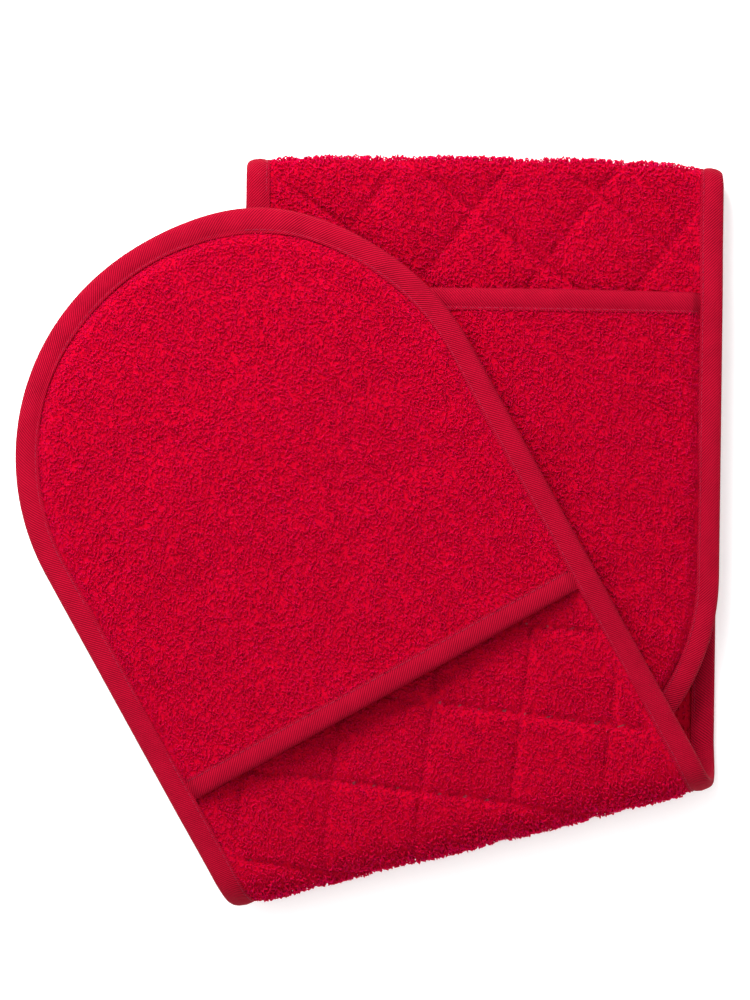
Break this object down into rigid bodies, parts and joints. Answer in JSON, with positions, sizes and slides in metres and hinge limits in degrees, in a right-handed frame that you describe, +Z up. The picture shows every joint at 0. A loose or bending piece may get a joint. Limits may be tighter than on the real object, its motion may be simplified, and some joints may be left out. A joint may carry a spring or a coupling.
{
  "type": "double oven glove",
  "caption": "Long quilted terry oven glove with a hand pocket at each round end, bound edges, folded in three with the top end turned over on a slant.",
  "frame": {"origin": "centre of the middle panel's underside, on the surface the folded glove lies on", "axes": "+Z up from the surface, +Y along the middle panel from the slanting fold to the square fold, +X across the strip"},
  "size_m": [0.2717, 0.2908, 0.04],
  "materials": {
    "crimson_terry": "looped terry towelling, quilted on the strip",
    "palm_terry": "looped terry towelling",
    "wadding": "lofted reclaimed fibre wadding",
    "twill_tape": "woven twill bias binding"
  },
  "bodies": {
    "folded_panels": {"hand_side_terry_main": "crimson_terry", "wadding_main": "wadding", "palm_side_terry_main": "palm_terry", "tucked_pocket_terry": "crimson_terry", "tucked_mouth_binding": "twill_tape", "edge_binding_main": "twill_tape", "hand_side_terry_fold": "crimson_terry", "wadding_fold": "wadding", "palm_side_terry_fold": "palm_terry", "edge_binding_fold_left": "twill_tape", "edge_binding_fold_right": "twill_tape"},
    "flap": {"hand_side_terry_flap": "crimson_terry", "wadding_flap": "wadding", "palm_side_terry_flap": "palm_terry", "top_pocket_terry": "crimson_terry", "top_mouth_binding": "twill_tape", "edge_binding_flap": "twill_tape"}
  },
  "joints": [
    {"name": "flap_fold", "type": "hinge", "parent": "folded_panels", "child": "flap", "pos_m": [0, -0.12125, 0.01575], "axis": [0.9668, 0.2554, 0], "range_deg": [0, 165], "deforming": ["hand_side_terry_fold", "wadding_fold", "palm_side_terry_fold", "edge_binding_fold_left", "edge_binding_fold_right"]}
  ]
}
